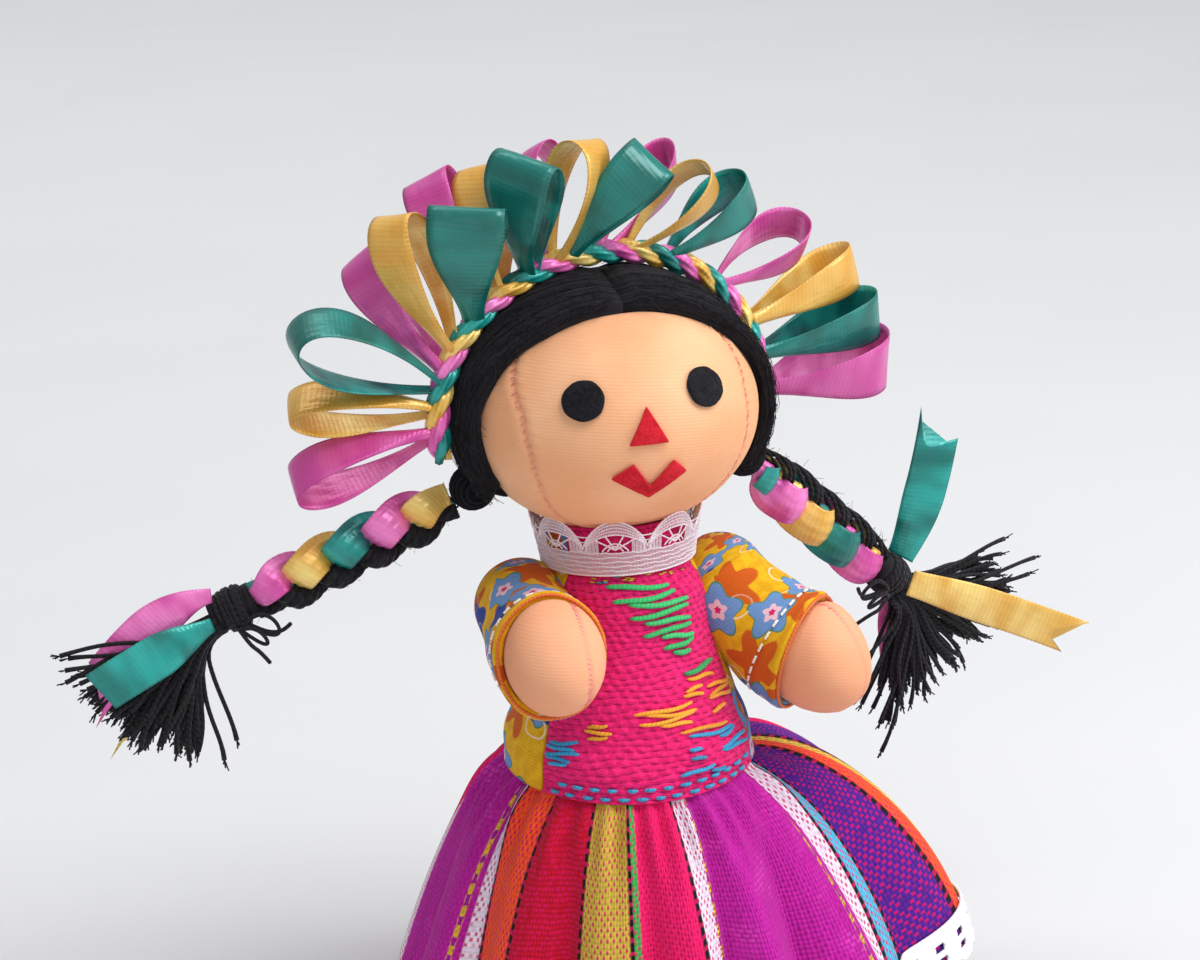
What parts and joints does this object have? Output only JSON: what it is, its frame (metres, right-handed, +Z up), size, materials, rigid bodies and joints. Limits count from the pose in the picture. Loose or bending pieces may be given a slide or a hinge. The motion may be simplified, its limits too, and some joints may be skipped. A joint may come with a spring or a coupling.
{
  "type": "rag doll",
  "caption": "Stuffed rag doll with a crown of ribbon loops, yarn plaits with tassels, felt features, lace collar and a gathered striped skirt; its head, limbs and plaits turn.",
  "frame": {"origin": "on the floor under the middle of the standing doll, at the centre of its overall box", "axes": "+Z up, the doll faces -Y, its left side is +X"},
  "size_m": [0.1544, 0.0788, 0.1326],
  "materials": {
    "skin": "plain cotton jersey, stuffed",
    "yarn": "soft plied yarn",
    "felt_black": "cut felt",
    "felt_red": "cut felt",
    "felt_dark": "felt",
    "satin_pink": "satin ribbon",
    "satin_yellow": "satin ribbon",
    "satin_teal": "satin ribbon",
    "brocade": "woven brocade with floating threads",
    "print": "printed cotton",
    "lace": "machine lace",
    "stripe": "striped woven cotton with metallic threads"
  },
  "bodies": {
    "torso": {"torso": "skin", "blouse_front": "brocade", "blouse_back": "print", "lace_collar": "lace", "skirt": "stripe", "hem_lace": "lace"},
    "head": {"head": "skin", "eye_left": "felt_black", "eye_right": "felt_black", "nose": "felt_red", "mouth": "felt_red", "hair_left": "yarn", "hair_right": "yarn", "crown_band_pink": "satin_pink", "crown_band_yellow": "satin_yellow", "crown_band_teal": "satin_teal", "crown_loop_01_pink": "satin_pink", "crown_loop_02_yellow": "satin_yellow", "crown_loop_03_teal": "satin_teal", "crown_loop_04_pink": "satin_pink", "crown_loop_05_yellow": "satin_yellow", "crown_loop_06_teal": "satin_teal", "crown_loop_07_pink": "satin_pink", "crown_loop_08_yellow": "satin_yellow", "crown_loop_09_teal": "satin_teal", "crown_loop_10_pink": "satin_pink", "crown_loop_11_yellow": "satin_yellow", "crown_loop_12_teal": "satin_teal", "crown_loop_13_pink": "satin_pink", "crown_loop_14_yellow": "satin_yellow", "crown_loop_15_teal": "satin_teal", "crown_loop_16_pink": "satin_pink", "crown_loop_17_yellow": "satin_yellow", "crown_loop_18_teal": "satin_teal", "crown_loop_19_pink": "satin_pink"},
    "plait_left": {"plait_left_pink": "satin_pink", "plait_left_yellow": "satin_yellow", "plait_left_teal": "satin_teal", "plait_tie_left": "yarn", "plait_tassel_left": "yarn", "ribbon_tail_left_pink": "satin_pink", "ribbon_tail_left_yellow": "satin_yellow", "ribbon_tail_left_teal": "satin_teal"},
    "plait_right": {"plait_right_pink": "satin_pink", "plait_right_yellow": "satin_yellow", "plait_right_teal": "satin_teal", "plait_tie_right": "yarn", "plait_tassel_right": "yarn", "ribbon_tail_right_pink": "satin_pink", "ribbon_tail_right_yellow": "satin_yellow", "ribbon_tail_right_teal": "satin_teal"},
    "arm_left": {"sleeve_left": "print", "arm_left": "skin"},
    "arm_right": {"sleeve_right": "print", "arm_right": "skin"},
    "leg_left": {"leg_left": "skin", "slipper_left": "felt_dark"},
    "leg_right": {"leg_right": "skin", "slipper_right": "felt_dark"}
  },
  "joints": [
    {"name": "neck_turn", "type": "hinge", "parent": "torso", "child": "head", "pos_m": [0, 0, 0.078], "axis": [0, 0, 1], "range_deg": [-20, 20]},
    {"name": "plait_left_swing", "type": "hinge", "parent": "head", "child": "plait_left", "pos_m": [0.0199, 0.00244, 0.08415], "axis": [0, 1, 0], "range_deg": [-30, 8]},
    {"name": "plait_right_swing", "type": "hinge", "parent": "head", "child": "plait_right", "pos_m": [-0.0199, 0.00244, 0.08415], "axis": [0, -1, 0], "range_deg": [-10, 30]},
    {"name": "shoulder_left", "type": "hinge", "parent": "torso", "child": "arm_left", "pos_m": [0.0146, -0.001, 0.067], "axis": [-0.7193, -0.6947, 0], "range_deg": [-8, 30]},
    {"name": "shoulder_right", "type": "hinge", "parent": "torso", "child": "arm_right", "pos_m": [-0.0146, -0.001, 0.067], "axis": [-0.9998, 0.0174, 0], "range_deg": [-21, 26]},
    {"name": "hip_left", "type": "hinge", "parent": "torso", "child": "leg_left", "pos_m": [0.0076, 0, 0.038], "axis": [-1, 0, 0], "range_deg": [-25, 25]},
    {"name": "hip_right", "type": "hinge", "parent": "torso", "child": "leg_right", "pos_m": [-0.0076, 0, 0.038], "axis": [-1, 0, 0], "range_deg": [-25, 25]}
  ]
}
